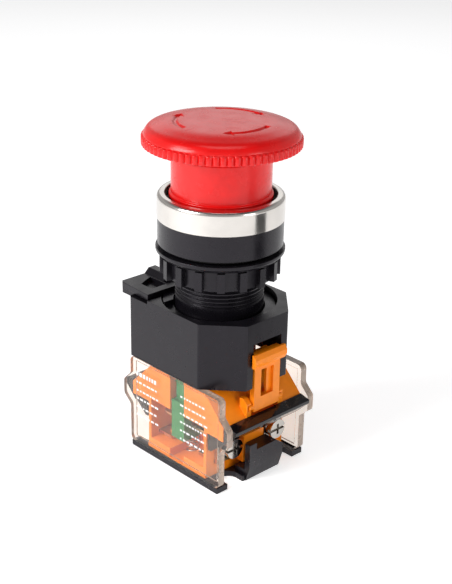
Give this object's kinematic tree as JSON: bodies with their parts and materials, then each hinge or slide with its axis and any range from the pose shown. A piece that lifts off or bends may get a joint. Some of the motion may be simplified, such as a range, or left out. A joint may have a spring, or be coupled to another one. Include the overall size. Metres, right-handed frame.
{
  "type": "emergency stop button",
  "caption": "Panel-mounted emergency stop push button: red twist-release mushroom head, chrome bezel, clamp nut, adapter with lock lever, and a contact block with clear covers.",
  "frame": {"origin": "centre of the base plate's underside, on the button's axis", "axes": "+Z along the button's axis towards the red cap, +X towards one pair of terminals, -Y towards the front clear cover plate"},
  "size_m": [0.0425, 0.0382, 0.0881],
  "materials": {
    "red_plastic": "glossy moulded red",
    "bezel_chrome": "polished plating",
    "black_plastic": "satin moulded black",
    "shield_black": "glossy moulded black",
    "orange_plastic": "satin moulded orange",
    "clear_plastic": "clear polycarbonate",
    "gasket_rubber": "soft black rubber",
    "screw_steel": "nickel plated",
    "contact_brass": "rolled brass with silver tips",
    "spring_steel": "drawn spring wire",
    "carrier_green": "moulded green",
    "carrier_red": "moulded red",
    "plunger_white": "natural acetal"
  },
  "bodies": {
    "housing": {"base_plate": "black_plastic", "contact_housing": "orange_plastic", "cover_plate_front": "clear_plastic", "cover_plate_rear": "clear_plastic", "fixed_contacts_no": "contact_brass", "fixed_contacts_nc": "contact_brass", "wire_clamps": "screw_steel", "terminal_screws": "screw_steel", "terminal_shield_right": "shield_black", "terminal_shield_left": "shield_black", "adapter_body": "black_plastic", "head_housing": "black_plastic", "latch_pins": "spring_steel", "bezel_ring": "bezel_chrome", "seal_gasket": "gasket_rubber", "return_spring": "spring_steel", "carrier_spring_no": "spring_steel", "carrier_spring_nc": "spring_steel"},
    "lock_lever": {"lock_lever": "black_plastic"},
    "panel_washer": {"panel_washer": "black_plastic"},
    "lock_nut": {"lock_nut": "black_plastic"},
    "plunger": {"plunger": "plunger_white", "twist_spring": "spring_steel"},
    "button": {"mushroom_cap": "red_plastic", "button_stem": "red_plastic", "cam_sleeve": "plunger_white"},
    "carrier_no": {"contact_carrier_no": "carrier_green", "contact_bridge_no": "contact_brass", "contact_spring_no": "spring_steel"},
    "carrier_nc": {"contact_carrier_nc": "carrier_red", "contact_bridge_nc": "contact_brass", "contact_spring_nc": "spring_steel"},
    "release_latch_right": {"release_latch_right": "orange_plastic"},
    "release_latch_left": {"release_latch_left": "orange_plastic"}
  },
  "joints": [
    {"name": "press", "type": "slide", "parent": "housing", "child": "plunger", "axis": [0, 0, -1], "range_m": [0, 0.0045], "stiffness_N_per_m": 2500, "springref_m": -0.002, "deforming": ["return_spring"]},
    {"name": "twist", "type": "hinge", "parent": "plunger", "child": "button", "pos_m": [0, 0, 0.08], "axis": [0, 0, -1], "range_deg": [0, 40], "stiffness_Nm_per_rad": 0.08},
    {"name": "carrier_no_slide", "type": "slide", "parent": "housing", "child": "carrier_no", "axis": [0, 0, -1], "range_m": [0, 0.0045], "deforming": ["carrier_spring_no"]},
    {"name": "carrier_nc_slide", "type": "slide", "parent": "housing", "child": "carrier_nc", "axis": [0, 0, -1], "range_m": [0, 0.0045], "deforming": ["carrier_spring_nc"]},
    {"name": "washer_slide", "type": "slide", "parent": "housing", "child": "panel_washer", "axis": [0, 0, -1], "range_m": [0, 0.0045]},
    {"name": "nut_turn", "type": "hinge", "parent": "panel_washer", "child": "lock_nut", "pos_m": [0, 0, 0.0527], "axis": [0, 0, -1], "range_deg": [0, 1620]},
    {"name": "lock_lever_turn", "type": "hinge", "parent": "housing", "child": "lock_lever", "pos_m": [0, 0, 0.0413], "axis": [0, 0, -1], "range_deg": [0, 35]},
    {"name": "latch_right_flex", "type": "hinge", "parent": "housing", "child": "release_latch_right", "pos_m": [0.01665, 0, 0.0206], "axis": [0, 1, 0], "range_deg": [0, 7], "stiffness_Nm_per_rad": 0.15},
    {"name": "latch_left_flex", "type": "hinge", "parent": "housing", "child": "release_latch_left", "pos_m": [-0.01665, 0, 0.0206], "axis": [0, -1, 0], "range_deg": [0, 7], "stiffness_Nm_per_rad": 0.15}
  ],
  "couplings": [
    {"joint": "carrier_no_slide", "follows": "press", "ratio": 1},
    {"joint": "carrier_nc_slide", "follows": "press", "ratio": 1},
    {"joint": "nut_turn", "follows": "washer_slide", "rad_per_m": 6283.2}
  ]
}
